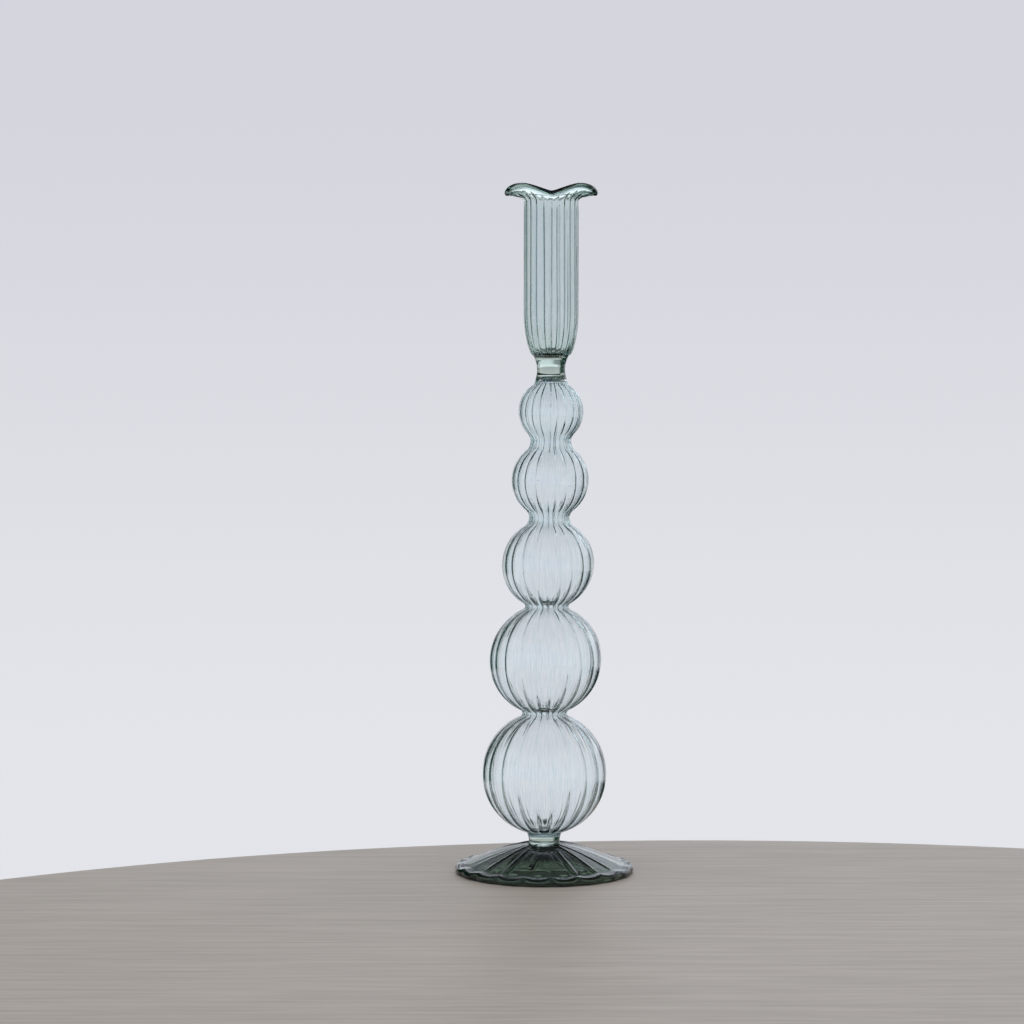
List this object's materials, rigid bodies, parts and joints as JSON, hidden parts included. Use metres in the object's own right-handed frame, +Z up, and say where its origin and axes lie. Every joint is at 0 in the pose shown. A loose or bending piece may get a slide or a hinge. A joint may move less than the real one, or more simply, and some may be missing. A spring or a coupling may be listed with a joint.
{
  "type": "fluted glass stem vase",
  "caption": "Slender hand blown glass vase: ribbed domed foot, a stem of ribbed bubbles shrinking upwards and a deep ribbed cup with a ruffled lip.",
  "frame": {"origin": "centre of the ring that the foot stands on, at table level", "axes": "+Z up along the stem; +X to the right as seen from the front, which faces -Y"},
  "size_m": [0.089, 0.089, 0.3373],
  "materials": {
    "foot_glass": "fire-polished, glossy",
    "lower_collar_glass": "fire-polished, glossy",
    "bubble_1_glass": "fire-polished, glossy",
    "bubble_2_glass": "fire-polished, glossy",
    "bubble_3_glass": "fire-polished, glossy",
    "bubble_4_glass": "fire-polished, glossy",
    "bubble_5_glass": "fire-polished, glossy",
    "upper_collar_glass": "fire-polished, glossy",
    "mouth_cup_glass": "fire-polished, glossy"
  },
  "bodies": {
    "root": {"foot": "foot_glass", "lower_collar": "lower_collar_glass", "bubble_1": "bubble_1_glass", "bubble_2": "bubble_2_glass", "bubble_3": "bubble_3_glass", "bubble_4": "bubble_4_glass", "bubble_5": "bubble_5_glass", "upper_collar": "upper_collar_glass", "mouth_cup": "mouth_cup_glass"}
  },
  "joints": []
}
